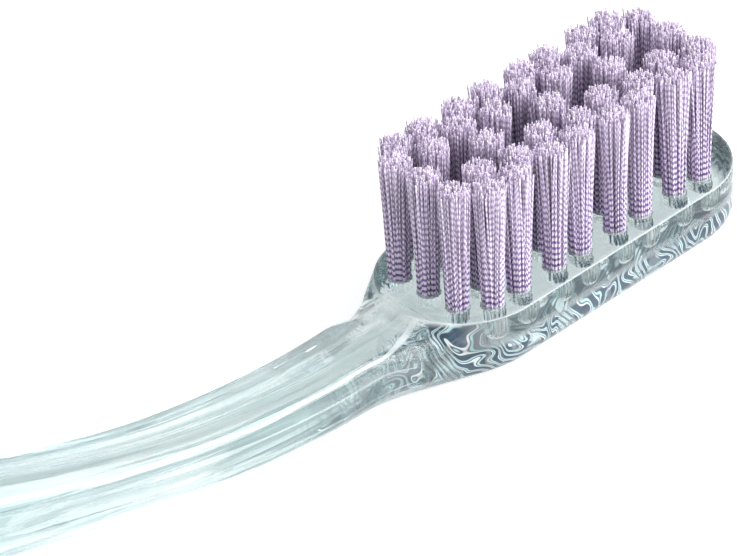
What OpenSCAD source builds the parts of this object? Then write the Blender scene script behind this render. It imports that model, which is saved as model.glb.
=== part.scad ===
// Manual toothbrush of clear plastic, lying on its back with the bristles up.
// +X runs along the brush to the tip of the head, +Z is the way the bristles point,
// and the origin is at the middle of the ground that the brush covers.
// Distances along the brush are taken from the tip of the head.

/* [Brush] */
// Length from the tip of the head to the end of the handle
brush_l = 188; // [165:1:215]

/* [Head] */
// Width of the head
head_w = 12.4; // [12.2:0.1:16]
// Length of the head, from its tip to its round heel
head_l = 31.4; // [31:0.1:40]
// Thickness of the head, from its flat back to the face that holds the bristles
head_t = 5; // [4.6:0.1:6.5]
// Width of the rim, the chamfered and rounded edge between the face and the side
rim_r = 0.6; // [0.3:0.05:0.9]
// Rounding of the edge between the side and the back
back_r = 1.8; // [1.2:0.1:3.2]
// Hollow rounding, seen from above, where the head narrows into the neck
shoulder_r = 20; // [10:0.5:30]

/* [Neck] */
// Width of the neck
neck_w = 5.9; // [5:0.1:8]
// Thickness of the neck at its slimmest
neck_t = 4.8; // [4.2:0.1:6.5]
// Length of the slim neck, behind the shoulder
neck_l = 15; // [8:0.5:25]
// Width of the flatter top of the neck
neck_top_w = 4.3; // [3.2:0.1:4.6]
// Distance from the heel of the head to where the top of the neck begins
neck_top_l = 4.8; // [4:0.1:6]

/* [Saddle behind the heel] */
// Width of the saddle at its narrowest
saddle_w = 2.6; // [2:0.1:3.2]
// Distance from the heel of the head to the lowest part of the saddle
saddle_l = 1.5; // [1:0.1:2.5]
// How far the saddle lies below the top of the neck
saddle_drop = 0.3; // [0:0.05:0.5]
// Fillet, seen from above, between the rim and the saddle
fillet_r = 1.2; // [0.6:0.1:2]

/* [Grip] */
// Width of the grip under the thumb
thumb_w = 12.4; // [9:0.1:16]
// Width of the grip where it draws in behind the thumb
waist_w = 10.6; // [8:0.1:15]
// Width of the grip in the palm
palm_w = 12; // [9:0.1:16]
// Width of the handle at its round end
tail_w = 9.6; // [7:0.1:14]
// Thickness of the grip
grip_t = 9.2; // [7:0.1:13]
// Thickness of the handle at its round end
tail_t = 7.4; // [6:0.1:10]
// Height of the arch under the grip, above the surface that the brush lies on
arch_h = 11; // [4:0.5:16]
// Length of the flat foot under the end of the handle
foot_l = 14; // [8:0.5:20]

/* [Tufts] */
// Diameter of the blind hole that holds a tuft
hole_d = 1.8; // [1.4:0.05:2]
// Depth of the hole
hole_depth = 2.4; // [2:0.1:3.2]
// All-round clearance of a tuft's root in its hole
root_gap = 0.02; // [0.01:0.01:0.08]
// Height of the trimmed bristles above the face
trim_h = 10; // [8:0.1:12]
// Distance from the tip of the head to the first row of tufts
tip_margin = 3.7; // [3.3:0.1:5]
// Length that the pattern of tufts takes before it repeats
pitch = 6.2; // [6:0.1:7.5]
// Number of times that the pattern repeats
repeats = 4; // [1:1:4]
// Distance across the head between the outermost tufts
outer_span = 8.7; // [8:0.1:9.2]
// Distance across the head between the outer tufts of a row of three
row_span = 5.5; // [5:0.1:6]
// Distance across the head between the two tufts of an inner pair
pair_span = 4.2; // [3.6:0.1:4.6]
// Thickness of one bristle strand, drawn stouter than a real filament
strand_d = 0.36; // [0.25:0.01:0.4]
// How much wider a tuft is at its trimmed end than at its root
flare_share = 1.22; // [1:0.01:1.3]

/* [Hidden] */
// Smoothness of what is round
$fn = 48;
arc_steps = 8;
end_steps = 12;
heel_steps = 16;
chamfer_steps = 3;
shoulder_steps = 12;
grip_steps = 48;
// Places along the grip, as shares of its length from the end of the neck to the tail
thumb_share = 0.4;
waist_share = 0.6;
palm_share = 0.78;
arch_share = 0.33;
// Parts of the rim, as shares of its width: the chamfer's width and height, the ledge outside it,
// and how far the rounded side falls from there
chamfer_share = 0.83;
chamfer_h_share = 0.24;
ledge_share = 0.07;
rim_fall_share = 0.58;
// How steep the shoulder falls from the saddle, and how much of the round grip the neck already has
shoulder_slope_share = 0.6;
neck_rounded_share = 0.45;
// Flat parts of the outline of a section, as shares of its width or thickness
crest_share = 0.04;
crown_share = 0.1;
side_share = 0.04;
neck_back_share = 0.3;
foot_share = 0.4;
// Strands in the two rings of a tuft, and the radii of the rings as shares of the root's radius
inner_strands = 3;
outer_strands = 9;
inner_share = 0.3;
outer_share = 0.77;
strand_sides = 3;
// How deep a strand starts in its root, as a share of the strand's thickness
sunk_share = 0.5;
// How far a cut runs past the face that it opens
overrun = 0.5;
// Places in the pattern of tufts, as shares of its pitch: a row of three, an outer pair,
// an inner pair, and another outer pair
first_pair_share = 0.29;
inner_pair_share = 0.5;
second_pair_share = 0.71;

tip_x = brush_l / 2;
head_r = head_w / 2;
face_r = head_r - rim_r;
tip_pivot = head_r;
heel_pivot = head_l - head_r;
neck_r = neck_w / 2;
shoulder_end = heel_pivot + sqrt(pow(head_r + shoulder_r, 2) - pow(neck_r + shoulder_r, 2));
shoulder_start = heel_pivot + (shoulder_end - heel_pivot) * head_r / (head_r + shoulder_r);
chamfer_h = rim_r * chamfer_h_share;
chamfer_r = face_r + rim_r * chamfer_share;
neck_end = shoulder_end + neck_l;
tail_pivot = brush_l - tail_w / 2;
grip_l = tail_pivot - neck_end;
root_r = hole_d / 2 - root_gap;

// A place on the grip, from its share of the grip's length
function on_grip(share) = neck_end + grip_l * share;
// A smooth step from 0 to 1
function ease(t) = t * t * (3 - 2 * t);
// The value at s on an easy curve through knots, each a place and the value there
function along(knots, s, i = 0) =
    s <= knots[i][0] || i == len(knots) - 1 ? knots[i][1]
    : s > knots[i + 1][0] ? along(knots, s, i + 1)
    : let (t = (s - knots[i][0]) / (knots[i + 1][0] - knots[i][0]))
      knots[i][1] + (knots[i + 1][1] - knots[i][1]) * ease(t);

thumb = on_grip(thumb_share);
palm = on_grip(palm_share);
saddle = head_l + saddle_l;
neck_top = head_l + neck_top_l;
width_knots = [
    [neck_end, neck_w],
    [thumb, thumb_w],
    [on_grip(waist_share), waist_w],
    [palm, palm_w],
    [tail_pivot, tail_w]
];
back_knots = [
    [shoulder_end, 0],
    [on_grip(arch_share), arch_h],
    [brush_l - foot_l, 0]
];
thickness_knots = [
    [neck_end, neck_t],
    [thumb, grip_t],
    [palm, grip_t],
    [tail_pivot, tail_t]
];
// How far the top lies below the foot of the chamfer, behind the heel
hollow_knots = [
    [heel_pivot + chamfer_r, 0],
    [saddle, head_t - chamfer_h - neck_t + saddle_drop],
    [neck_top, head_t - chamfer_h - neck_t]
];
strip_knots = [
    [saddle, saddle_w],
    [neck_top, neck_top_w],
    [thumb, thumb_w * crown_share]
];

// Half the width of the outline seen from above: the head with its round heel, the hollow shoulder,
// then the handle
function half_width(s) =
    s <= heel_pivot ? head_r
    : s <= shoulder_start ? sqrt(pow(head_r, 2) - pow(s - heel_pivot, 2))
    : s <= shoulder_end ? neck_r + shoulder_r - sqrt(pow(shoulder_r, 2) - pow(shoulder_end - s, 2))
    : along(width_knots, s) / 2;
// Height of the top above the back: the face, its chamfer, the saddle, then the neck and grip
function top_height(s, across) =
    let (
        beyond = norm([max(0, s - heel_pivot), across]) - face_r,
        chamfer = chamfer_h * min(1, max(0, beyond / (chamfer_r - face_r)))
    )
    along(thickness_knots, s) + head_t - neck_t - chamfer - along(hollow_knots, s);
// Half the width at s of the round heel of that radius, or the least half width behind it
function chord(s, radius, least) =
    s <= heel_pivot ? radius
    : s < heel_pivot + radius ? max(least, sqrt(pow(radius, 2) - pow(s - heel_pivot, 2)))
    : least;
// Half the width of the top: the rim, then the saddle, neck and grip, joined by a fillet
function top_edge(s, rim) =
    let (strip = along(strip_knots, s) / 2)
    max(rim, strip) + pow(max(0, fillet_r - abs(rim - strip)), 2) / (4 * fillet_r);
// The value between a and b at the share t
function mixed(a, b, t) = a + (b - a) * t;

// A quarter of an ellipse from a flat's edge to the side, as points of half width and fall
function quarter(flat, side, fall) = [
    for (k = [0 : arc_steps])
        let (a = 90 * k / arc_steps)
        [flat + (side - flat) * sin(a), fall * (1 - cos(a))]
];
// One half of the section at s, from the top round to the back
function half_section(s) =
    let (
        w = half_width(s),
        back = along(back_knots, s),
        turned = along([[heel_pivot, 0], [shoulder_end, 1]], s),
        rounded = along([[heel_pivot, 0], [shoulder_end, neck_rounded_share], [thumb, 1]], s),
        curve = top_height(s, 0) * (1 - side_share) / 2,
        crest = w * crest_share,
        face = chord(s, face_r, crest),
        rim = chord(s, chamfer_r, 2 * crest),
        edge = top_edge(s, rim) + rim_r * ledge_share,
        slope = shoulder_slope_share * (w - edge) * (1 - rounded),
        fall = mixed(rim_r * rim_fall_share, curve, rounded) + slope,
        foot = w * along([[neck_end, neck_back_share], [palm, foot_share]], s),
        rise = mixed(back_r, curve, turned),
        back_flat = mixed(head_r - back_r, foot, turned),
        under = quarter(back_flat, w, rise)
    )
    concat(
        [for (across = [face, rim]) [across, back + top_height(s, across)]],
        [for (p = quarter(edge, w, fall)) [p[0], back + top_height(s, edge) - p[1]]],
        [for (k = [arc_steps : -1 : 0]) [under[k][0], back + under[k][1]]]
    );

// A station is a place along the brush and the angle by which its two halves fold forwards or backwards
rim_turn = asin(face_r / chamfer_r);
stations = concat(
    [for (k = [0 : end_steps - 1]) [tip_pivot, 90 - 90 * k / end_steps]],
    [[tip_pivot, 0], [heel_pivot, 0]],
    [for (k = [1 : heel_steps]) [heel_pivot + face_r * sin(90 * k / heel_steps), 0]],
    [for (k = [1 : chamfer_steps]) [heel_pivot + chamfer_r * sin(mixed(rim_turn, 90, k / chamfer_steps)), 0]],
    [for (k = [1 : shoulder_steps]) [mixed(heel_pivot + chamfer_r, shoulder_end, k / shoulder_steps), 0]],
    [for (k = [1 : grip_steps]) [mixed(shoulder_end, tail_pivot, k / grip_steps), 0]],
    [for (k = [1 : end_steps]) [tail_pivot, -90 * k / end_steps]]
);

// A point of a section, folded with its half and set in its place
function placed(station, p, side) = [
    tip_x - station[0] + p[0] * sin(station[1]),
    side * p[0] * cos(station[1]),
    p[1]
];
// The closed ring of a station
function ring(station) =
    let (half = half_section(station[0]), n = len(half))
    concat(
        [for (k = [0 : n - 1]) placed(station, half[k], 1)],
        [for (k = [n - 1 : -1 : 0]) placed(station, half[k], -1)]
    );

// The solid through all rings. The folded rings at both ends close on themselves.
module loft() {
    rings = [for (station = stations) ring(station)];
    n = len(rings[0]);
    polyhedron(
        points = [for (r = rings) each r],
        faces = [
            for (i = [0 : len(rings) - 2], k = [0 : n - 1])
                let (a = i * n + k, b = i * n + (k + 1) % n)
                each [[a, b, b + n], [a, b + n, a + n]]
        ]
    );
}

// The rows of the pattern: name, place as a share of the pitch, distance across,
// and whether there is a tuft in the middle
row_shares = [
    ["row", 0, row_span, true],
    ["outer_pair", first_pair_share, outer_span, false],
    ["inner_pair", inner_pair_share, pair_span, false],
    ["rear_pair", second_pair_share, outer_span, false]
];
// The tufts of one row: name, distance from the tip, and place across the head
function row_tufts(row, i) =
    let (s = tip_margin + (i + row[1]) * pitch)
    concat(
        [[str("tuft_", row[0], "_", i + 1, "_left"), s, row[2] / 2]],
        row[3] ? [[str("tuft_", row[0], "_", i + 1, "_middle"), s, 0]] : [],
        [[str("tuft_", row[0], "_", i + 1, "_right"), s, -row[2] / 2]]
    );
// Every tuft, from the tip of the head to its heel
tufts = concat(
    [for (i = [0 : repeats - 1], row = row_shares) each row_tufts(row, i)],
    row_tufts(row_shares[0], repeats)
);

// A straight peg with a round end, standing with its mouth at the origin and its end down
module peg(r, depth) {
    translate([0, 0, r - depth]) {
        cylinder(r = r, h = depth - r);
        sphere(r = r);
    }
}

// The hole for a tuft, drawn as what the drill takes away
module blind_hole() {
    peg(hole_d / 2, hole_depth);
    cylinder(d = hole_d, h = overrun);
}

// The head, neck and grip in one moulding
module handle() {
    color("#c4d4d1", 0.6)
    difference() {
        loft();
        for (tuft = tufts)
            translate([tip_x - tuft[1], tuft[2], head_t])
                blind_hole();
    }
}

// A ring of strands that lean outwards from the root to the trimmed end
module strands(count, ring_r) {
    reach = ring_r * (flare_share - 1);
    sunk = strand_d * sunk_share;
    for (k = [0 : count - 1])
        rotate([0, 0, 360 * k / count])
            translate([ring_r, 0, 0])
                rotate([0, atan(reach / trim_h), 0])
                    translate([0, 0, -sunk])
                        cylinder(d = strand_d, h = trim_h + sunk, $fn = strand_sides);
}

// A tuft: the fused root in its hole and the strands that stand on it
module tuft_body() {
    color("#b9a3d6") {
        peg(root_r, hole_depth - root_gap);
        strands(inner_strands, root_r * inner_share);
        strands(outer_strands, root_r * outer_share);
    }
}

handle();
for (tuft = tufts)
    translate([tip_x - tuft[1], tuft[2], head_t])
            tuft_body();
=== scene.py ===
# %% [markdown]
# # A clear toothbrush
#
# The CAD frame holds the brush at its real size, in metres. It lies on its back: +X runs to the tip of the
# head, and +Z is the way the bristles point. Two things make its looks. The handle is one moulding of clear
# plastic, which bends all that is seen through it. The bristles are 39 tufts of fine banded filaments, whose
# roots stand in blind holes in the clear head. Both are built again here, finer than in CAD and in the same
# place, and each new piece stands for its CAD node.

# %% Load the frame
import math
import random

import bmesh
import bpy
from mathutils import Matrix, Vector


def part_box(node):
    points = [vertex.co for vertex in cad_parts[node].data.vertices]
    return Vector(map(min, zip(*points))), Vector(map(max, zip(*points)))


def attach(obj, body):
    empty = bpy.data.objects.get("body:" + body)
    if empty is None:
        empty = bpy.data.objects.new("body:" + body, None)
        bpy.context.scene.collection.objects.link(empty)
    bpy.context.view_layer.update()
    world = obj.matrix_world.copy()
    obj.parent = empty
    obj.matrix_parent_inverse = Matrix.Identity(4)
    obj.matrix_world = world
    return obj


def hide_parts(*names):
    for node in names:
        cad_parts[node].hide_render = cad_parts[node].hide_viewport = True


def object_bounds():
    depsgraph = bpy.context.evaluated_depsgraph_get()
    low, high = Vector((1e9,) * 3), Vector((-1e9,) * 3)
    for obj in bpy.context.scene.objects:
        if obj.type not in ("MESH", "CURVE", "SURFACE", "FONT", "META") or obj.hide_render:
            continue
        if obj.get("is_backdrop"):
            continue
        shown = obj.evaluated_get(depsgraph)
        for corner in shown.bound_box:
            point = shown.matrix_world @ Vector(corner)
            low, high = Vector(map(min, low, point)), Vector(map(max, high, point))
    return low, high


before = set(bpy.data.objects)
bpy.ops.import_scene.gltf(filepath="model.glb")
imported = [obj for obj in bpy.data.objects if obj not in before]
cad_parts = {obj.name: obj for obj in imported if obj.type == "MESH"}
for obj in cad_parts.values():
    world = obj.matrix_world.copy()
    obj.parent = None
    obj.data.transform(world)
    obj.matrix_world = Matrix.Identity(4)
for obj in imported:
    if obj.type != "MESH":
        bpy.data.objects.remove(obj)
cad_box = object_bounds()
MM = 0.001
print("nodes:", len(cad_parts), "box:", [tuple(corner) for corner in cad_box])

# %% [markdown]
# ## Places that the frame gives
#
# A new piece must sit exactly where its CAD node sits. Distances along the brush are easiest to think of
# from the tip of the head, as a ruler laid beside the brush would give them. So the tip and the face that
# holds the bristles are read from the handle's node, and the middle of each hole from the root of its tuft.
# The measures could be typed in again, but then they would drift apart when the CAD model changes.

# %% Tip, face and holes
FRONT_OF_HEAD = 20 * MM
ROOT_TOP = 4.4 * MM

handle_low, handle_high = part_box("handle")
tip_x = handle_high.x
brush_l = handle_high.x - handle_low.x
face_z = max(v.co.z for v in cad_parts["handle"].data.vertices if v.co.x > tip_x - FRONT_OF_HEAD)


def root_centre(cad_tuft):
    """The middle of a tuft's round root, seen from above."""
    root = [v.co for v in cad_tuft.data.vertices if v.co.z < ROOT_TOP]
    xs = [co.x for co in root]
    ys = [co.y for co in root]
    return Vector(((min(xs) + max(xs)) / 2, (min(ys) + max(ys)) / 2, face_z))


tuft_centres = {
    name: root_centre(piece) for name, piece in sorted(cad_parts.items()) if name != "handle"
}
print("tip", round(tip_x, 4), "length", round(brush_l, 4), "face", round(face_z, 5))
print("tufts:", len(tuft_centres))

# %% [markdown]
# ## The camera
#
# The photograph was taken with a long lens from less than half a metre away, from behind the head, on its -Y
# side and above it, so the head looks almost the same size at both ends. A camera is three things here:
# where it stands, which way it looks, and how large it draws. All three come from the regular pattern of the
# tufts in the photograph and from the outline of the neck. Blender would also take a Track To constraint,
# but a matrix made of the three axes of the view holds the slight roll as well.

# %% Camera
PHOTO_WIDTH = 737
PHOTO_HEIGHT = 556
AZIMUTH = math.radians(-44.145)
ELEVATION = math.radians(34.249)
ROLL = math.radians(-2.613)
DISTANCE = 386 * MM
AIM_FROM_TIP = 20.5 * MM
AIM = Vector((tip_x - AIM_FROM_TIP, 0, face_z))
AIM_PIXEL = (508.5, 242.8)
PIXELS_PER_METRE = 14385
SENSOR = 36


def view_axes():
    """The right, up and backward directions of the view."""
    level = Vector((math.cos(AZIMUTH), math.sin(AZIMUTH), 0))
    behind = Vector((math.sin(AZIMUTH), -math.cos(AZIMUTH), 0))
    back = math.cos(ELEVATION) * behind + math.sin(ELEVATION) * Vector((0, 0, 1))
    rise = back.cross(level)
    right = math.cos(ROLL) * level + math.sin(ROLL) * rise
    up = math.cos(ROLL) * rise - math.sin(ROLL) * level
    return right, up, back


def add_camera():
    """The photograph's camera, without shift or depth of field."""
    right, up, back = view_axes()
    aside = (AIM_PIXEL[0] - PHOTO_WIDTH / 2) / PIXELS_PER_METRE
    above = (PHOTO_HEIGHT / 2 - AIM_PIXEL[1]) / PIXELS_PER_METRE
    place = AIM + DISTANCE * back - aside * right - above * up
    data = bpy.data.cameras.new("photo_camera")
    data.sensor_width = SENSOR
    data.lens = SENSOR * PIXELS_PER_METRE * DISTANCE / PHOTO_WIDTH
    camera = bpy.data.objects.new("photo_camera", data)
    turn = Matrix((right, up, back)).transposed().to_4x4()
    camera.matrix_world = Matrix.Translation(place) @ turn
    bpy.context.scene.collection.objects.link(camera)
    bpy.context.scene.camera = camera
    return camera


camera = add_camera()
print("camera at", tuple(round(c, 4) for c in camera.location), "lens", round(camera.data.lens, 1))

# %% [markdown]
# ## The outline of the handle
#
# The handle is drawn as its maker would draw it: a section, and how that section changes from the tip of the
# head to the tail. Seen from above the head is a strip with two round ends, the rear one hollowed into the
# neck by an arc. Behind the neck the grip swells under the thumb, narrows, and swells again in the palm.
# These are the dimensions of the CAD source, as lengths from the tip, so the fine model keeps to the same
# surface. Only the arch is 0.02 mm lower than there, because finer steps reach a little higher.

# %% Widths and heights along the handle
HEAD_W = 12.4 * MM
HEAD_L = 31.4 * MM
RIM_R = 0.6 * MM
BACK_R = 1.8 * MM
SHOULDER_R = 20 * MM
NECK_W = 5.9 * MM
NECK_T = 4.8 * MM
NECK_L = 15 * MM
THUMB_W = 12.4 * MM
WAIST_W = 10.6 * MM
PALM_W = 12 * MM
TAIL_W = 9.6 * MM
GRIP_T = 9.2 * MM
TAIL_T = 7.4 * MM
ARCH_H = 10.98 * MM
FOOT_L = 14 * MM
THUMB_SHARE = 0.4
WAIST_SHARE = 0.6
PALM_SHARE = 0.78
ARCH_SHARE = 0.33

head_r = HEAD_W / 2
face_r = head_r - RIM_R
heel_pivot = HEAD_L - head_r
neck_r = NECK_W / 2
shoulder_end = heel_pivot + math.sqrt((head_r + SHOULDER_R) ** 2 - (neck_r + SHOULDER_R) ** 2)
shoulder_start = heel_pivot + (shoulder_end - heel_pivot) * head_r / (head_r + SHOULDER_R)
neck_end = shoulder_end + NECK_L
tail_pivot = brush_l - TAIL_W / 2


def on_grip(share):
    """A place on the grip, from its share of the grip's length."""
    return neck_end + (tail_pivot - neck_end) * share


thumb = on_grip(THUMB_SHARE)
waist = on_grip(WAIST_SHARE)
palm = on_grip(PALM_SHARE)


def along(knots, s):
    """The value at s on a curve that eases from knot to knot, each a place and the value there."""
    if s <= knots[0][0]:
        return knots[0][1]
    for (s0, v0), (s1, v1) in zip(knots, knots[1:]):
        if s <= s1:
            t = (s - s0) / (s1 - s0)
            return v0 + (v1 - v0) * t * t * (3 - 2 * t)
    return knots[-1][1]


def half_width(s):
    """Half the width of the handle at s, seen from above."""
    if s <= heel_pivot:
        return head_r
    if s <= shoulder_start:
        return math.sqrt(head_r ** 2 - (s - heel_pivot) ** 2)
    if s <= shoulder_end:
        return neck_r + SHOULDER_R - math.sqrt(SHOULDER_R ** 2 - (shoulder_end - s) ** 2)
    knots = [(neck_end, NECK_W), (thumb, THUMB_W), (waist, WAIST_W), (palm, PALM_W), (tail_pivot, TAIL_W)]
    return along(knots, s) / 2


def back_height(s):
    """The height of the back at s, which arches up behind the neck and comes down to the foot."""
    return along([(shoulder_end, 0), (on_grip(ARCH_SHARE), ARCH_H), (brush_l - FOOT_L, 0)], s)


print("heel turns at", round(heel_pivot / MM, 2), "mm, neck ends at", round(neck_end / MM, 2), "mm")

# %% [markdown]
# ## The face and its heel
#
# The top of the head is a level face with a narrow chamfer all round it. In clear plastic both edges of the
# chamfer show as fine bright lines, so it has to be there. At the heel the chamfer turns in a half circle.
# Behind it lies a small saddle, narrow like the waist of an hourglass, that leads to the flatter top of the
# neck. One function gives the height of all this, and another how wide it is before the side falls away.

# %% The top of the handle
CHAMFER_W = 0.5 * MM
CHAMFER_H = 0.144 * MM
SADDLE_L = 1.5 * MM
SADDLE_W = 2.6 * MM
SADDLE_DROP = 0.3 * MM
NECK_TOP_L = 4.8 * MM
NECK_TOP_W = 4.3 * MM
CROWN_SHARE = 0.1
FILLET = 1.2 * MM

chamfer_r = face_r + CHAMFER_W
saddle = HEAD_L + SADDLE_L
neck_top = HEAD_L + NECK_TOP_L


def top_height(s, across):
    """The height of the top above the back: the face, its chamfer, the saddle, then the neck and grip."""
    knots = [(neck_end, NECK_T), (thumb, GRIP_T), (palm, GRIP_T), (tail_pivot, TAIL_T)]
    thickness = along(knots, s) + face_z - NECK_T
    beyond = math.hypot(max(0, s - heel_pivot), across) - face_r
    chamfer = CHAMFER_H * min(1, max(0, beyond / CHAMFER_W))
    lower = face_z - CHAMFER_H - NECK_T
    hollow = along([(heel_pivot + chamfer_r, 0), (saddle, lower + SADDLE_DROP), (neck_top, lower)], s)
    return thickness - chamfer - hollow


def chord(s, radius, least):
    """Half the width at s of the head's round heel of that radius, or the least width behind it."""
    if s <= heel_pivot:
        return radius
    if s < heel_pivot + radius:
        return max(least, math.sqrt(radius ** 2 - (s - heel_pivot) ** 2))
    return least


def top_edge(s, rim):
    """Half the width of the top: the rim, then the saddle, neck and grip, joined by a fillet."""
    knots = [(saddle, SADDLE_W), (neck_top, NECK_TOP_W), (thumb, THUMB_W * CROWN_SHARE)]
    strip = along(knots, s) / 2
    return max(rim, strip) + max(0, FILLET - abs(rim - strip)) ** 2 / (4 * FILLET)


for part, s in (("behind the heel", saddle), ("at the end of the neck", neck_end)):
    print("height", part, round(top_height(s, 0) / MM, 2), "mm")

# %% [markdown]
# ## The section of the handle
#
# One half of a section runs from the middle of the top, over its edge and down the side, to the middle of
# the back. Its corners are parts of ellipses: small and tight at the rim of the head, as tall as half the
# section in the oval grip. Clear plastic shows each flaw of its surface, because the light is bent by it, so
# the corners have many steps. A point just inside each flat holds the shading there level up to its edge, as
# a support loop does in subdivision modelling.

# %% One half of a section
CORNER_STEPS = 14
LEDGE_STEPS = 4
LEDGE_W = 0.04 * MM
RIM_FALL = 0.35 * MM
RIM_TURN = math.radians(60)
SHOULDER_SLOPE = 0.6
NECK_ROUNDED = 0.45
SIDE_SHARE = 0.04
SUPPORT_SHARE = 0.97
CREST_SHARE = 0.04
NECK_BACK_SHARE = 0.3
FOOT_SHARE = 0.4


def corner(flat, side, fall, start=0.0):
    """Part of a quarter ellipse from a flat's edge to the side, as points of half width and fall."""
    turns = [start + (math.pi / 2 - start) * k / CORNER_STEPS for k in range(CORNER_STEPS + 1)]
    outs = [(math.sin(a) - math.sin(start)) / (1 - math.sin(start)) for a in turns]
    downs = [1 - math.cos(a) / math.cos(start) for a in turns]
    return [(flat + (side - flat) * out, fall * down) for out, down in zip(outs, downs)]


def half_section(s):
    """The points of half a section at s, from the middle of the top to the middle of the back."""
    w = half_width(s)
    back = back_height(s)
    turned = along([(heel_pivot, 0), (shoulder_end, 1)], s)
    rounded = along([(heel_pivot, 0), (shoulder_end, NECK_ROUNDED), (thumb, 1)], s)
    curve = top_height(s, 0) * (1 - SIDE_SHARE) / 2
    crest = w * CREST_SHARE
    face = chord(s, face_r, crest)
    rim = chord(s, chamfer_r, 2 * crest)
    edge = top_edge(s, rim) + LEDGE_W
    fall = RIM_FALL + (curve - RIM_FALL) * rounded + SHOULDER_SLOPE * (w - edge) * (1 - rounded)
    start = RIM_TURN * (1 - along([(heel_pivot, 0), (heel_pivot + chamfer_r, 1)], s))
    ledge = [rim + (edge - rim) * k / LEDGE_STEPS for k in range(LEDGE_STEPS)]
    top = [(across, back + top_height(s, across)) for across in [0, face * SUPPORT_SHARE, face] + ledge]
    side = [(across, back + top_height(s, edge) - lower) for across, lower in corner(edge, w, fall, start)]
    foot = w * along([(neck_end, NECK_BACK_SHARE), (palm, FOOT_SHARE)], s)
    back_flat = head_r - BACK_R + (foot - head_r + BACK_R) * turned
    rise = BACK_R + (curve - BACK_R) * turned
    under = [(across, back + higher) for across, higher in corner(back_flat, w, rise)]
    return top + side + under[::-1] + [(back_flat * SUPPORT_SHARE, back), (0, back)]


print("points in half a section:", len(half_section(0)))

# %% [markdown]
# ## The handle as a draped sheet
#
# A brush is the same on both sides, so only one half is shaped. It could be lofted ring by ring with bridged
# loops. Here it starts as a flat grid, one column of vertices for each place along the brush, and each
# column is laid on its section, like a sheet draped over a mould. At the tip and the tail the columns swing
# round an upright axis until they meet the middle plane, which closes the round ends. Then the half is
# mirrored and its seam merged.

# %% Drape, swing and mirror
END_STEPS = 24
HEAD_STEPS = 24
HEEL_STEPS = 36
CHAMFER_STEPS = 8
SHOULDER_STEPS = 30
GRIP_STEPS = 110
SEAM = 1e-6


def between(start, end, steps):
    """Even places from start to end, the start left out."""
    return [start + (end - start) * k / steps for k in range(1, steps + 1)]


def columns():
    """Where each column of the sheet lies: its place along the brush, and the angle it swings forwards."""
    quarter = math.pi / 2
    heel_turns = between(0, quarter, HEEL_STEPS)
    chamfer_turns = between(math.asin(face_r / chamfer_r), quarter, CHAMFER_STEPS)
    found = [(head_r, quarter * (1 - k / END_STEPS)) for k in range(END_STEPS + 1)]
    found += [(s, 0) for s in between(head_r, heel_pivot, HEAD_STEPS)]
    found += [(heel_pivot + face_r * math.sin(a), 0) for a in heel_turns]
    found += [(heel_pivot + chamfer_r * math.sin(a), 0) for a in chamfer_turns]
    found += [(s, 0) for s in between(heel_pivot + chamfer_r, shoulder_end, SHOULDER_STEPS)]
    found += [(s, 0) for s in between(shoulder_end, tail_pivot, GRIP_STEPS)]
    found += [(tail_pivot, -a) for a in between(0, quarter, END_STEPS)]
    return found


def draped_handle():
    """The solid outside of the handle, without its holes."""
    places = columns()
    sections = [half_section(s) for s, swing in places]
    last_column = len(places) - 1
    last_point = len(sections[0]) - 1
    bm = bmesh.new()
    length_along = bm.verts.layers.float.new("flow_along")
    share_round = bm.verts.layers.float.new("flow_round")
    bmesh.ops.create_grid(bm, x_segments=last_column, y_segments=last_point, size=1)
    for vertex in bm.verts:
        column = round((vertex.co.x + 1) / 2 * last_column)
        point = round((vertex.co.y + 1) / 2 * last_point)
        s, swing = places[column]
        across, height = sections[column][point]
        vertex.co = (tip_x - s + across * math.sin(swing), across * math.cos(swing), height)
        vertex[length_along] = s
        vertex[share_round] = point / last_point
    bmesh.ops.mirror(bm, geom=bm.verts[:] + bm.edges[:] + bm.faces[:], axis="Y", merge_dist=SEAM)
    bmesh.ops.remove_doubles(bm, verts=bm.verts[:], dist=SEAM)
    bmesh.ops.dissolve_degenerate(bm, edges=bm.edges[:], dist=SEAM)
    bmesh.ops.recalc_face_normals(bm, faces=bm.faces[:])
    return bm


def mesh_object(name, bm):
    """A new object that holds the mesh that was built."""
    mesh = bpy.data.meshes.new(name)
    bm.to_mesh(mesh)
    bm.free()
    made = bpy.data.objects.new(name, mesh)
    bpy.context.scene.collection.objects.link(made)
    return made


clear_handle = mesh_object("clear_handle", draped_handle())
print("handle before drilling:", len(clear_handle.data.polygons), "faces")

# %% [markdown]
# ## The blind holes
#
# The tufts stand in 39 blind holes with round ends, and through the clear head their walls shine like fluted
# glass rods. That is because the air gap round a root mirrors what is beside it, so the holes must be real.
# A round-ended drill is half a profile spun once round, with shallow flutes pressed into its sides. It is
# copied to each place and taken away with a Boolean modifier, which is then applied. Cutting the holes by
# hand into the grid would give neater faces, but the face is flat, where faces of any shape look the same.

# %% Drill the head
HOLE_R = 0.9 * MM
HOLE_DEPTH = 2.4 * MM
FLUTES = 14
STEPS_PER_FLUTE = 8
FLUTE_SHARE = 0.08
DRILL_ROUND_STEPS = 8
OVERRUN = 0.5 * MM
SMOOTH_LIMIT = math.radians(25)


def spun(profile, steps):
    """A closed round solid: a profile of radius and height, from axis to axis, spun once round."""
    bm = bmesh.new()
    line = [bm.verts.new((r, 0, z)) for r, z in profile]
    edges = [bm.edges.new(pair) for pair in zip(line, line[1:])]
    bmesh.ops.spin(
        bm, geom=line + edges, axis=(0, 0, 1), cent=(0, 0, 0), angle=math.tau, steps=steps, use_merge=True
    )
    bmesh.ops.remove_doubles(bm, verts=bm.verts[:], dist=SEAM)
    bmesh.ops.recalc_face_normals(bm, faces=bm.faces[:])
    return bm


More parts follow.
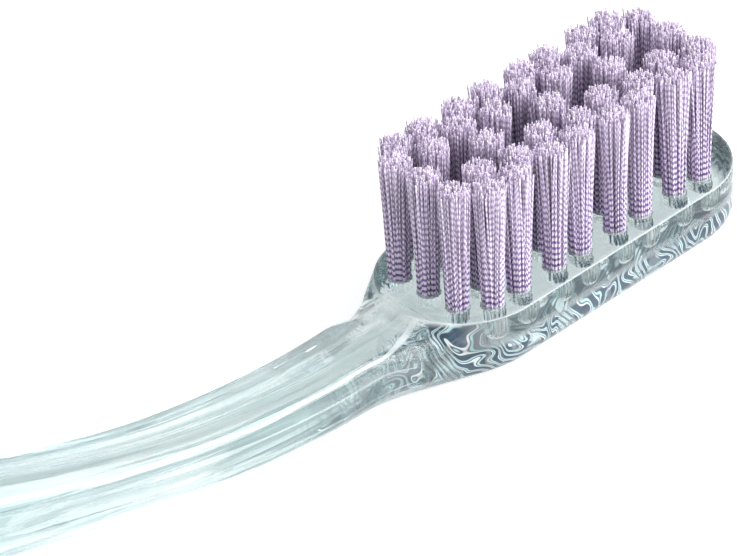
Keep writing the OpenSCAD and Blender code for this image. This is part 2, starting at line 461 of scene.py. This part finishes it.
def drill_profile():
    """From the bottom of the hole round its end and up past the face."""
    turns = [math.pi / 2 * k / DRILL_ROUND_STEPS for k in range(DRILL_ROUND_STEPS + 1)]
    bottom = [(HOLE_R * math.sin(a), HOLE_R * (1 - math.cos(a)) - HOLE_DEPTH) for a in turns]
    return bottom + [(HOLE_R, OVERRUN), (0, OVERRUN)]


def fluted(profile, steps):
    """The spun solid with upright flutes pressed into its sides."""
    bm = spun(profile, FLUTES * steps)
    for vertex in bm.verts:
        angle = math.atan2(vertex.co.y, vertex.co.x)
        pressed = 1 - FLUTE_SHARE * (1 - abs(math.sin(FLUTES * angle / 2)))
        vertex.co.x *= pressed
        vertex.co.y *= pressed
    return bm


def drill_set():
    """One drill at each hole."""
    one = fluted(drill_profile(), STEPS_PER_FLUTE)
    template = bpy.data.meshes.new("drill")
    one.to_mesh(template)
    one.free()
    bm = bmesh.new()
    for centre in tuft_centres.values():
        known = len(bm.verts)
        bm.from_mesh(template)
        bm.verts.ensure_lookup_table()
        bmesh.ops.translate(bm, verts=bm.verts[known:], vec=centre)
    bpy.data.meshes.remove(template)
    return mesh_object("drills", bm)


def cut_away(piece, tool):
    """Takes the tool away from the piece and keeps the result as the piece's own mesh."""
    cut = piece.modifiers.new("holes", "BOOLEAN")
    cut.operation = "DIFFERENCE"
    cut.solver = "EXACT"
    cut.object = tool
    bpy.context.view_layer.update()
    result = bpy.data.meshes.new_from_object(piece.evaluated_get(bpy.context.evaluated_depsgraph_get()))
    piece.modifiers.clear()
    piece.data = result
    bpy.data.objects.remove(tool)


cut_away(clear_handle, drill_set())
clear_handle.data.shade_smooth()
clear_handle.data.set_sharp_from_angle(angle=SMOOTH_LIMIT)
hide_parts("handle")
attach(clear_handle, "root")
print("handle with its holes:", len(clear_handle.data.polygons), "faces")

# %% [markdown]
# ## One filament
#
# A bristle is a nylon thread about 0.11 mm thick with a rounded tip. There are thousands, so one is made as
# a template of a few dozen faces: a cone shape with equal ends, cut across a few times so that it can bend,
# and bevelled at the tip. Its UV map runs once round the thread and along it, one unit for each colour band,
# because the bands follow the thread wherever it leans.

# %% The template
FILAMENT_R = 0.056 * MM
FILAMENT_SIDES = 6
FILAMENT_CUTS = 4
TIP_SHARE = 0.7
BAND = 0.5 * MM
TRIM_H = 10 * MM


def map_thread(bm):
    """The UV map of an upright thread: once round it, and one unit for each band along it."""
    uv = bm.loops.layers.uv.new("thread")
    for face in bm.faces:
        shares = [math.atan2(loop.vert.co.y, loop.vert.co.x) / math.tau % 1 for loop in face.loops]
        crosses = max(shares) - min(shares) > 0.5
        for loop, share in zip(face.loops, shares):
            turn = share + 1 if crosses and share < 0.5 else share
            loop[uv].uv = (turn, loop.vert.co.z / BAND)


def filament_template():
    """A straight filament with its foot at the origin."""
    length = TRIM_H
    bm = bmesh.new()
    bmesh.ops.create_cone(
        bm, cap_ends=True, segments=FILAMENT_SIDES, radius1=FILAMENT_R, radius2=FILAMENT_R, depth=length
    )
    bmesh.ops.translate(bm, verts=bm.verts[:], vec=(0, 0, length / 2))
    tip = [e for e in bm.edges if all(v.co.z > length / 2 for v in e.verts)]
    bmesh.ops.bevel(
        bm, geom=tip, offset=FILAMENT_R * TIP_SHARE, segments=2, profile=0.5, affect="EDGES", material=-1
    )
    upright = [e for e in bm.edges if abs(e.verts[0].co.z - e.verts[1].co.z) > length / 2]
    bmesh.ops.subdivide_edges(bm, edges=upright, cuts=FILAMENT_CUTS, use_grid_fill=False)
    map_thread(bm)
    mesh = bpy.data.meshes.new("filament")
    bm.to_mesh(mesh)
    bm.free()
    return mesh


filament = filament_template()
print("one filament:", len(filament.vertices), "vertices,", len(filament.polygons), "faces")

# %% [markdown]
# ## A tuft
#
# About 160 filaments stand close together on a clear fused root, a fluted rod with a round end that is a
# little smaller than its hole. Above the face they spring apart a little: each leans outwards with its
# distance from the middle, and a bit its own way. The trimmed ends are nearly level but not quite, which
# makes the soft, fuzzy top. The particle system could scatter hairs, but packed threads have an order, so
# they are placed on a close-packed lattice and then nudged, each tuft from its own seed.

# %% Pack, splay and trim
ROOT_R = 0.84 * MM
SPACING = 0.117 * MM
FLARE = 1.45
SPLAY = 0.13 * MM
UNEVEN = 0.45 * MM
DOME = 0.3 * MM
NUDGE = 0.03 * MM
BAND_SLIP = 0.13
BAND_STRETCH = 0.025
TONE_POWER = 0.6
ROD_STEPS_PER_FLUTE = 6
ROD_SHARE = 0.985
SUNK = 0.01 * MM
THREAD_LIMIT = math.radians(70)


def packed_places(rng):
    """Close-packed places in the round root, turned by chance."""
    reach = ROOT_R - FILAMENT_R
    turn = Matrix.Rotation(rng.uniform(0, math.tau), 2)
    count = int(reach / SPACING) + 2
    found = []
    for row in range(-count, count + 1):
        for place in range(-count, count + 1):
            spot = Vector(((place + row % 2 / 2) * SPACING, row * SPACING * math.sqrt(3) / 2))
            nudged = spot + Vector((rng.gauss(0, NUDGE), rng.gauss(0, NUDGE)))
            if nudged.length <= reach:
                found.append(turn @ nudged)
    return found


def add_filament(bm, spot, centre, rng):
    """One filament of a tuft, from the fused root to its trimmed tip."""
    uv = bm.loops.layers.uv["thread"]
    tone = bm.verts.layers.float["tone"]
    known_verts = len(bm.verts)
    known_faces = len(bm.faces)
    bm.from_mesh(filament)
    bm.verts.ensure_lookup_table()
    bm.faces.ensure_lookup_table()
    lean = Vector((rng.gauss(0, SPLAY), rng.gauss(0, SPLAY)))
    shorter = rng.uniform(0, UNEVEN) + DOME * (spot.length / ROOT_R) ** 2
    slip = rng.gauss(0, BAND_SLIP)
    stretch = rng.gauss(1, BAND_STRETCH)
    shade = rng.random() ** TONE_POWER
    for vertex in bm.verts[known_verts:]:
        rise = vertex.co.z / TRIM_H
        across = spot * (1 + (FLARE - 1) * rise) + lean * rise ** 2
        vertex.co.x += centre.x + across.x
        vertex.co.y += centre.y + across.y
        vertex.co.z += centre.z - shorter * rise
        vertex[tone] = shade
    for face in bm.faces[known_faces:]:
        for loop in face.loops:
            loop[uv].uv.y = loop[uv].uv.y * stretch + slip


def fused_root(bm, centre):
    """The clear fluted rod into which the filaments are melted, down in the hole."""
    known_verts = len(bm.verts)
    known_faces = len(bm.faces)
    bm.from_mesh(root_rod)
    bm.verts.ensure_lookup_table()
    bm.faces.ensure_lookup_table()
    bmesh.ops.translate(bm, verts=bm.verts[known_verts:], vec=centre)
    for face in bm.faces[known_faces:]:
        face.material_index = 1


def rod_template():
    """The fused root, a little smaller than its hole all round."""
    profile = [(r * ROOT_R / HOLE_R, min(z * ROD_SHARE, -SUNK)) for r, z in drill_profile()]
    bm = fluted(profile, ROD_STEPS_PER_FLUTE)
    mesh = bpy.data.meshes.new("root_rod")
    bm.to_mesh(mesh)
    bm.free()
    return mesh


root_rod = rod_template()


def tuft(name, centre):
    """A tuft with its root in the hole, in place of its CAD node."""
    rng = random.Random(name)
    bm = bmesh.new()
    bm.loops.layers.uv.new("thread")
    bm.verts.layers.float.new("tone")
    for spot in packed_places(rng):
        add_filament(bm, spot, centre, rng)
    fused_root(bm, centre)
    piece = mesh_object("bristles_" + name, bm)
    piece.data.shade_smooth()
    piece.data.set_sharp_from_angle(angle=THREAD_LIMIT)
    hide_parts(name)
    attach(piece, "root")
    return piece


tufts = [tuft(name, centre) for name, centre in tuft_centres.items()]
print("tufts:", len(tufts), "faces in all:", sum(len(piece.data.polygons) for piece in tufts))

# %% [markdown]
# ## Nodes as functions
#
# A material is a graph of nodes. Drawn by hand in the editor it shows well what feeds what, but written out
# it is long. So a few small functions make one node each and wire it, and then a pattern reads like a sum.
# A pattern on the handle has to follow its bends. So each vertex of the handle carries two values, how far
# it is from the tip and what share of the way round half a section, and a pattern may use them as its place.

# %% Nodes as functions
def new_material(name):
    """An empty node material."""
    material = bpy.data.materials.new(name)
    material.use_nodes = True
    material.node_tree.nodes.clear()
    return material


def feed(m, socket, value):
    """Wires a value into a socket, or sets it there if it is a constant."""
    if isinstance(value, bpy.types.NodeSocket):
        m.node_tree.links.new(value, socket)
    else:
        socket.default_value = value


def node(m, kind, inputs=(), **settings):
    """A new node with its properties set and its inputs fed."""
    made = m.node_tree.nodes.new(kind)
    for key, value in settings.items():
        setattr(made, key, value)
    for name, value in dict(inputs).items():
        feed(m, made.inputs[name], value)
    return made


def maths(m, operation, first, *others):
    """One Math node, or one after the other for each further value."""
    for other in others or (0.0,):
        made = node(m, "ShaderNodeMath", {0: first, 1: other}, operation=operation)
        first = made.outputs[0]
    return first


def blended(m, share, first, second):
    """A Mix node for colours."""
    made = node(m, "ShaderNodeMix", data_type="RGBA")
    for name, value in (("Factor_Float", share), ("A_Color", first), ("B_Color", second)):
        feed(m, next(s for s in made.inputs if s.identifier == name), value)
    return next(s for s in made.outputs if s.identifier == "Result_Color")


def ramp(m, value, low=0.0, high=1.0, first=0.0, last=1.0):
    """A value stretched so that low gives the first number and high the last."""
    inputs = {"Value": value, "From Min": low, "From Max": high, "To Min": first, "To Max": last}
    return node(m, "ShaderNodeMapRange", inputs).outputs["Result"]


def attribute(m, name):
    """The value that each vertex carries under that name."""
    return node(m, "ShaderNodeAttribute", attribute_name=name).outputs["Fac"]


def object_axis(m, axis):
    """The place along one axis of the object, in metres."""
    place = node(m, "ShaderNodeTexCoord").outputs["Object"]
    return node(m, "ShaderNodeSeparateXYZ", {"Vector": place}).outputs[axis]


def object_place(m, scale):
    """Object coordinates, stretched by a Mapping node."""
    place = node(m, "ShaderNodeTexCoord").outputs["Object"]
    return node(m, "ShaderNodeMapping", {"Vector": place, "Scale": scale}).outputs["Vector"]


def flow_place(m, scale):
    """A stretched place on the handle: along it, round its section, and across it."""
    ways = {"X": attribute(m, "flow_along"), "Y": attribute(m, "flow_round"), "Z": object_axis(m, "Y")}
    joined = node(m, "ShaderNodeCombineXYZ", ways).outputs["Vector"]
    return node(m, "ShaderNodeMapping", {"Vector": joined, "Scale": scale}).outputs["Vector"]


def noise(m, place, detail, swirl=0.0):
    """A noise at a stretched place."""
    inputs = {"Vector": place, "Scale": 1, "Detail": detail, "Distortion": swirl}
    return node(m, "ShaderNodeTexNoise", inputs).outputs["Fac"]


print("values on the handle:", [a.name for a in clear_handle.data.attributes if a.name.startswith("flow")])

# %% [markdown]
# ## Painted reflections and shade in the clear plastic
#
# What makes the photograph's plastic lively is the room that it mirrors and bends, and that room isn't here.
# So its reflections and bends are painted on the surface as lines, in a colour that lets less light through:
# painted reflections in wavy slate, teal and white lines and painted shade in dark patches low on the sides
# of the head, a painted highlight round its rim, a painted gleam that leaves the rim at the heel and sways
# along the neck and grip, painted white highlight streaks, and long shapes of painted grey shade. Real
# reflections move with the view, and these stay. A room modelled round the brush would give moving ones, but
# its lines would be hard to steer.
#
# Each shape is a noise or a wave that is cut off sharply. In the names below, PLACE says how fast a noise
# changes in each direction, and EDGE or WAVE between which values the cut lies. TOP and FOOT are the shares
# of the way round between which a band begins and ends, and ROOT_FOOT the heights between which the wavy
# lines begin, so that the roots stay clear. SHARE is how strong a colour is, and BODY how much of the light
# it keeps out.

# %% Painted reflections and shade in the clear plastic
STREAK_DETAIL = 2
STREAK_SWIRL = 0.4
NECK_FADE = 5 * MM

# Painted grey shade: long shapes on the neck and grip.
GREY = (0.5, 0.6, 0.6, 1)
GREY_PLACE = (17, 5, 300)
GREY_EDGE = (0.51, 0.525)
GREY_SHARE = 0.7
GREY_BODY = 0.8

# Painted highlight: a bright line round the rim of the head.
RIM_TOP = (0.07, 0.09)
RIM_FOOT = (0.3, 0.22)

# Painted highlights: the swaying gleam along the neck and grip, and white streaks behind the heel.
SWAY_PLACE = (60, 0, 0)
SWAY = 0.3
GLEAM_DOWN = 0.05
GLEAM_ROUND = 0.15
GLEAM_BEND = 3 * MM
GLEAM_EDGE = (0.035, 0.02)
GLEAM_SHARE = 0.9
WHITE_PLACE = (22, 8, 420)
WHITE_EDGE = (0.51, 0.53)
WHITE_SHARE = 0.6

# Where the painted reflections and painted shade lie on the sides of the head.
SIDE_TOP = (0.17, 0.2)
SIDE_FOOT = (0.9, 0.8)
ROOT_FOOT = (3.3 * MM, 2.5 * MM)

# Painted reflections: wavy slate, teal and white lines; painted shade: dark slate patches.
REFLECTION_WAVE_PLACE = (260, 240, 260)
REFLECTION_WAVE_BEND = 62
REFLECTION_WAVE_TURNS = (7500, 0, 5000)
PAINTED_SLATE_REFLECTION = (0.035, 0.065, 0.11, 1)
PAINTED_TEAL_REFLECTION = (0.5, 0.74, 0.74, 1)
PAINTED_WHITE_REFLECTION = (0.9, 0.95, 0.95, 1)
SLATE_WAVE = (0.5, 0.85)
SLATE_SHARE = 0.9
TEAL_WAVE = (0.7, 0.95)
WHITE_WAVE = (-0.85, -0.99)
PALE_BODY = 0.75
PAINTED_LINES_CLEAR = 0.35
PATCH_PLACE = (420, 300, 200)
PATCH_EDGE = (0.5, 0.56)
CALM_EDGE = (0.38, 0.52)
CALM_SHARE = 0.3
BOLD_FADE = 4 * MM
BOLD_WAVE = 0.4
BOLD_PATCH = 0.09

heel_end = HEAD_L - FILLET


def streaks(m, scale, edge):
    """Long streaks with rather sharp edges, from 0 to 1."""
    return ramp(m, noise(m, flow_place(m, scale), STREAK_DETAIL, STREAK_SWIRL), *edge)


def painted_grey_shade(m):
    """How strong the painted grey shade of the long shapes on the neck and grip is, with crisp edges."""
    begun = ramp(m, attribute(m, "flow_along"), shoulder_end, shoulder_end + NECK_FADE)
    return maths(m, "MULTIPLY", begun, streaks(m, GREY_PLACE, GREY_EDGE), GREY_SHARE)


def painted_rim_highlight(m):
    """1 on the painted highlight round the rim of the head, outside the foot of its chamfer."""
    turn = attribute(m, "flow_round")
    line = maths(m, "MULTIPLY", ramp(m, turn, *RIM_TOP), ramp(m, turn, *RIM_FOOT))
    return maths(m, "MULTIPLY", line, ramp(m, attribute(m, "flow_along"), saddle, heel_end))


def painted_gleam_share(m):
    """How white the painted highlights are: the swaying gleam off the rim at the heel, and streaks behind
    the heel.
    """
    length = attribute(m, "flow_along")
    sway = noise(m, flow_place(m, SWAY_PLACE), STREAK_DETAIL)
    down = maths(m, "ADD", maths(m, "MULTIPLY", sway, SWAY), GLEAM_DOWN)
    bend = ramp(m, length, heel_end, saddle + GLEAM_BEND)
    centre = maths(m, "ADD", maths(m, "MULTIPLY", down, bend), GLEAM_ROUND)
    off = maths(m, "ABSOLUTE", maths(m, "SUBTRACT", attribute(m, "flow_round"), centre))
    begun = ramp(m, length, heel_pivot, heel_end)
    line = maths(m, "MULTIPLY", begun, ramp(m, off, *GLEAM_EDGE), GLEAM_SHARE)
    behind = ramp(m, length, heel_end, saddle)
    highlight_streaks = maths(m, "MULTIPLY", behind, streaks(m, WHITE_PLACE, WHITE_EDGE), WHITE_SHARE)
    return maths(m, "MAXIMUM", line, highlight_streaks)


def side_share(m):
    """1 low on the head's sides and all over its heel's sides, 0 on the face, the back and the neck."""
    turn = attribute(m, "flow_round")
    length = attribute(m, "flow_along")
    low = ramp(m, object_axis(m, "Z"), *ROOT_FOOT)
    spread = maths(m, "MAXIMUM", low, ramp(m, length, heel_pivot, heel_end))
    sides = maths(m, "MULTIPLY", ramp(m, turn, *SIDE_TOP), ramp(m, turn, *SIDE_FOOT))
    fading = ramp(m, length, shoulder_end + NECK_FADE, HEAD_L)
    return maths(m, "MULTIPLY", spread, sides, fading)


def wave_turns(m):
    """The angle of the wavy lines of painted reflection: even planes through the head, bent by a noise."""
    hills = noise(m, object_place(m, REFLECTION_WAVE_PLACE), detail=1, swirl=1)
    place = node(m, "ShaderNodeTexCoord").outputs["Object"]
    even = node(m, "ShaderNodeVectorMath", {0: place, 1: REFLECTION_WAVE_TURNS}, operation="DOT_PRODUCT")
    return maths(m, "ADD", maths(m, "MULTIPLY", hills, REFLECTION_WAVE_BEND), even.outputs["Value"])


def drawn_lines(m, colour):
    """The colour with the painted reflections, highlights and shade drawn on it, and how much of the plastic
    is see-through.
    """
    turns = wave_turns(m)
    wave = maths(m, "SINE", turns)
    side = side_share(m)
    patches = noise(m, object_place(m, PATCH_PLACE), detail=1, swirl=1)
    bolder = ramp(m, attribute(m, "flow_along"), heel_pivot, heel_pivot - BOLD_FADE)
    bold_wave = maths(m, "ADD", wave, maths(m, "MULTIPLY", bolder, BOLD_WAVE))
    bold_patches = maths(m, "ADD", patches, maths(m, "MULTIPLY", bolder, BOLD_PATCH))
    # Painted shade and reflection in slate, painted reflections in the teal and white lines.
    dark = maths(m, "MULTIPLY", ramp(m, bold_wave, *SLATE_WAVE), SLATE_SHARE)
    slate = maths(m, "MULTIPLY", maths(m, "MAXIMUM", dark, ramp(m, bold_patches, *PATCH_EDGE)), side)
    lined = maths(m, "MULTIPLY", side, ramp(m, patches, *CALM_EDGE, CALM_SHARE))
    teal = maths(m, "MULTIPLY", ramp(m, maths(m, "COSINE", turns), *TEAL_WAVE), lined)
    line = maths(m, "MULTIPLY", ramp(m, wave, *WHITE_WAVE), lined)
    white = maths(m, "MAXIMUM", line, painted_rim_highlight(m), painted_gleam_share(m))
    grey = painted_grey_shade(m)
    for share, shown in ((grey, GREY), (slate, PAINTED_SLATE_REFLECTION), (teal, PAINTED_TEAL_REFLECTION), (white, PAINTED_WHITE_REFLECTION)):
        colour = blended(m, share, colour, shown)
    pale_body = maths(m, "MULTIPLY", maths(m, "MAXIMUM", white, teal), PALE_BODY)
    grey_body = maths(m, "MULTIPLY", grey, GREY_BODY)
    body = maths(m, "MAXIMUM", slate, pale_body, grey_body)
    return colour, ramp(m, body, first=1.0, last=PAINTED_LINES_CLEAR)


print("lines over the heel from", round(heel_pivot / MM, 1), "to", round(heel_end / MM, 1), "mm")

# %% [markdown]
# ## Clear plastic
#
# The plastic is nearly colourless, and looks blue-green only where light has gone a long way through it. So
# the tint is a Volume Absorption inside: the deeper, the stronger, as in the real material. The surface of a
# moulding isn't perfect. Behind the heel a stretched noise draws long streaks: they are pressed in with a
# very low bump as faint flow marks, and painted a deeper grey-teal as painted shade of light bent through
# the neck. Handling leaves a slight haze, which another noise gives to the roughness.

# %% Clear plastic material
TINT = (0.6, 0.84, 0.86, 1)
TINT_DENSITY = 75
PLASTIC_IOR = 1.5
STREAK_PALE = (0.96, 0.97, 0.97, 1)
# Painted shade in the deep streaks, as of light bent through the neck.
PAINTED_STREAK_SHADE = (0.55, 0.63, 0.63, 1)
BROAD_PLACE = (28, 7, 260)
BROAD_EDGE = (0.49, 0.53)
FINE_PLACE = (45, 26, 900)
FINE_EDGE = (0.52, 0.6)
FINE_SHARE = 0.7
HAZE_PLACE = (120, 240, 240)
HAZE_DETAIL = 4
HAZE_ROUGHNESS = 0.012
BUMP_SHARE = 0.3
BUMP_HEIGHT = 0.03 * MM


def clear_plastic():
    """The tinted clear plastic of the handle."""
    m = new_material("clear_plastic")
    broad = streaks(m, BROAD_PLACE, BROAD_EDGE)
    fine = maths(m, "MULTIPLY", streaks(m, FINE_PLACE, FINE_EDGE), FINE_SHARE)
    behind = ramp(m, attribute(m, "flow_along"), heel_pivot, neck_top)
    # The streaks are real flow marks in the bump, and painted shade in the colour.
    depth = maths(m, "MULTIPLY", maths(m, "MAXIMUM", broad, fine), behind)
    colour, clear = drawn_lines(m, blended(m, depth, STREAK_PALE, PAINTED_STREAK_SHADE))
    haze = noise(m, object_place(m, HAZE_PLACE), HAZE_DETAIL)
    bump = node(m, "ShaderNodeBump", {"Height": depth, "Strength": BUMP_SHARE, "Distance": BUMP_HEIGHT})
    surface = node(m, "ShaderNodeBsdfPrincipled", {
        "Base Color": colour,
        "Roughness": ramp(m, haze, last=HAZE_ROUGHNESS),
        "Normal": bump.outputs["Normal"],
        "IOR": PLASTIC_IOR,
        "Transmission Weight": clear,
    })
    inside = node(m, "ShaderNodeVolumeAbsorption", {"Color": TINT, "Density": TINT_DENSITY})
    node(m, "ShaderNodeOutputMaterial", {"Surface": surface.outputs[0], "Volume": inside.outputs[0]})
    return m


clear_handle.data.materials.clear()
clear_handle.data.materials.append(clear_plastic())
print("clear plastic tint", TINT[:3], "density", TINT_DENSITY)

# %% [markdown]
# ## Banded filaments
#
# Each thread is lavender with fine purple bands, like a twisted two-coloured cord. A sine along the UV map
# makes the bands, tilted a little round the thread. They are strongest low down and fade towards the tips,
# where the rounded ends scatter the light and look pale. No two threads are equally light, so each vertex
# carries the tone of its thread. Just above the face the thread was never dyed, and shows a short whitish
# foot. Down in the holes the nylon is melted together, milky but clear, and that is what shows through the
# head.

# %% Bristle material
PALE = (0.94, 0.845, 0.985, 1)
PURPLE = (0.17, 0.085, 0.35, 1)
UNDYED = (0.85, 0.93, 0.93, 1)
UNDYED_H = 0.25 * MM
BAND_TILT = 0.03
BAND_EDGE = (-0.3, 0.6)
BAND_LEAST = 0.45
PALE_TIP_H = 0.6 * MM
TIP_LEAST = 0.35
TONES = (0.55, 1.15)
NYLON_ROUGHNESS = 0.35
MELTED = (0.9, 0.97, 0.96, 1)
MELTED_CLEAR = 0.6
MELTED_PLACE = (900, 900, 300)
MELTED_DETAIL = 2
MELTED_ROUGHNESS = 0.08


def bands(m):
    """How purple the thread is, from 0 to 1."""
    thread = node(m, "ShaderNodeUVMap", uv_map="thread").outputs["UV"]
    uv = node(m, "ShaderNodeSeparateXYZ", {"Vector": thread}).outputs
    tilt = maths(m, "MULTIPLY", maths(m, "COSINE", maths(m, "MULTIPLY", uv["X"], math.tau)), BAND_TILT)
    turns = maths(m, "ADD", uv["Y"], tilt)
    return ramp(m, maths(m, "SINE", maths(m, "MULTIPLY", turns, math.tau)), *BAND_EDGE)


def bristle():
    """The banded nylon of the filaments."""
    m = new_material("bristle")
    height = object_axis(m, "Z")
    trimmed = face_z + TRIM_H
    strength = ramp(m, height, face_z, trimmed, first=1.0, last=BAND_LEAST)
    tip = ramp(m, height, trimmed - PALE_TIP_H, trimmed, first=1.0, last=TIP_LEAST)
    share = maths(m, "MULTIPLY", bands(m), maths(m, "MULTIPLY", strength, tip))
    shade = ramp(m, attribute(m, "tone"), 0.0, 1.0, *TONES)
    colours = {0: blended(m, share, PALE, PURPLE), "Scale": shade}
    varied = node(m, "ShaderNodeVectorMath", colours, operation="SCALE").outputs[0]
    whole = blended(m, ramp(m, height, face_z, face_z + UNDYED_H), UNDYED, varied)
    surface = node(m, "ShaderNodeBsdfPrincipled", {"Base Color": whole, "Roughness": NYLON_ROUGHNESS})
    node(m, "ShaderNodeOutputMaterial", {"Surface": surface.outputs[0]})
    return m


def clear_root():
    """The melted nylon of the roots, clear with a little haze."""
    m = new_material("clear_root")
    haze = noise(m, object_place(m, MELTED_PLACE), MELTED_DETAIL)
    surface = node(m, "ShaderNodeBsdfPrincipled", {
        "Base Color": MELTED,
        "Roughness": ramp(m, haze, last=MELTED_ROUGHNESS),
        "IOR": PLASTIC_IOR,
        "Transmission Weight": MELTED_CLEAR,
    })
    node(m, "ShaderNodeOutputMaterial", {"Surface": surface.outputs[0]})
    return m


bristle_material = bristle()
root_material = clear_root()
for piece in tufts:
    piece.data.materials.append(bristle_material)
    piece.data.materials.append(root_material)
print("bristle bands every", BAND / MM, "mm")

# %% [markdown]
# ## Floor, world and light
#
# The brush lies on a plain white floor in soft light from all round, with one large soft lamp on the right
# of the camera that gives the tufts a light and a dark side. What is seen of the world, directly or by way
# of clear plastic, is white overhead and sinks to slate at the horizon, which darkens the plastic's edges.
# The soft light itself comes from a plain grey, brighter overhead, so that a colour renders about as it is
# written. The floor adds a touch of its own light where it is seen, and still keeps the shadow of the brush.
# Seen through the plastic it is mostly plain light, so that the clear parts stay clear. Light turns many
# times inside the plastic, and each turn is a bounce: with the usual few, the grip's end renders black.

# %% Studio
WHITE = (1, 1, 1, 1)
AMBIENT_LOW = 0.35
AMBIENT_HIGH = 0.85
HORIZON = (0.36, 0.45, 0.52, 1)
HORIZON_RISE = 0.3
FLOOR_SIZE = 3.0
FLOOR_GAP = 0.2 * MM
FLOOR_TONES = ((0.88, 0.89, 0.89, 1), (0.9, 0.9, 0.9, 1))
SPECKLE_PLACE = (90, 90, 90)
SPECKLE_DETAIL = 2
FLOOR_LIFT = 0.48
FLOOR_CLEAR = 0.7
FLOOR_WHITE = 0.8
LAMP_POWER = 13
LAMP_SIZE = 0.9
LAMP_DISTANCE = 0.9
LAMP_WAY = (1.0, 0.4, 0.6)
MOST_BOUNCES = 32


def seen_ray(m):
    """1 for rays of the camera, of mirrors and of clear things, else 0."""
    path = node(m, "ShaderNodeLightPath").outputs
    return maths(m, "MAXIMUM", path["Is Camera Ray"], path["Is Glossy Ray"], path["Is Transmission Ray"])


def studio_world():
    """A room that is white overhead and slate at the horizon, and lights softly."""
    world = bpy.data.worlds.new("studio")
    world.use_nodes = True
    way = node(world, "ShaderNodeTexCoord").outputs["Generated"]
    rise = node(world, "ShaderNodeSeparateXYZ", {"Vector": way}).outputs["Z"]
    ambient = ramp(world, rise, first=AMBIENT_LOW, last=AMBIENT_HIGH)
    seen = blended(world, ramp(world, rise, high=HORIZON_RISE), HORIZON, WHITE)
    background = world.node_tree.nodes["Background"]
    feed(world, background.inputs["Color"], blended(world, seen_ray(world), ambient, seen))
    bpy.context.scene.world = world


def white_floor():
    """A plain pale floor."""
    bm = bmesh.new()
    bmesh.ops.create_grid(bm, x_segments=1, y_segments=1, size=FLOOR_SIZE)
    bmesh.ops.translate(bm, verts=bm.verts[:], vec=(0, 0, -FLOOR_GAP))
    floor = mesh_object("floor", bm)
    m = new_material("floor")
    colour = blended(m, noise(m, object_place(m, SPECKLE_PLACE), SPECKLE_DETAIL), *FLOOR_TONES)
    diffuse = node(m, "ShaderNodeBsdfDiffuse", {"Color": colour})
    lifted = maths(m, "MULTIPLY", seen_ray(m), FLOOR_LIFT)
    lift = node(m, "ShaderNodeEmission", {"Color": WHITE, "Strength": lifted})
    both = node(m, "ShaderNodeAddShader", {0: diffuse.outputs[0], 1: lift.outputs[0]})
    plain = node(m, "ShaderNodeEmission", {"Color": WHITE, "Strength": FLOOR_WHITE})
    through = node(m, "ShaderNodeLightPath").outputs["Is Transmission Ray"]
    clear = maths(m, "MULTIPLY", through, FLOOR_CLEAR)
    shown = node(m, "ShaderNodeMixShader", {0: clear, 1: both.outputs[0], 2: plain.outputs[0]})
    node(m, "ShaderNodeOutputMaterial", {"Surface": shown.outputs[0]})
    floor.data.materials.append(m)
    floor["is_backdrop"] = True


def key_lamp():
    """A large soft lamp to the right of the camera and above it."""
    toward = sum((axis * share for axis, share in zip(view_axes(), LAMP_WAY)), Vector()).normalized()
    data = bpy.data.lights.new("key", "AREA")
    data.energy = LAMP_POWER
    data.size = LAMP_SIZE
    lamp = bpy.data.objects.new("key", data)
    turn = toward.to_track_quat("Z", "Y").to_matrix().to_4x4()
    lamp.matrix_world = Matrix.Translation(AIM + toward * LAMP_DISTANCE) @ turn
    bpy.context.scene.collection.objects.link(lamp)


studio_world()
white_floor()
key_lamp()
scene = bpy.context.scene
scene.view_settings.view_transform = "Standard"
scene.cycles.max_bounces = MOST_BOUNCES
scene.cycles.transmission_bounces = MOST_BOUNCES
scene.cycles.glossy_bounces = MOST_BOUNCES
print("lamp", LAMP_POWER, "W, ambient", AMBIENT_LOW, "to", AMBIENT_HIGH)

# %% [markdown]
# ## Finish
#
# Both boxes are printed, the CAD model's and the dressed model's, so that they can be compared.

# %% Sizes and finish
new_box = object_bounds()
for title, box in (("cad", cad_box), ("visual", new_box)):
    print(title, [tuple(round(x, 5) for x in point) for point in box])
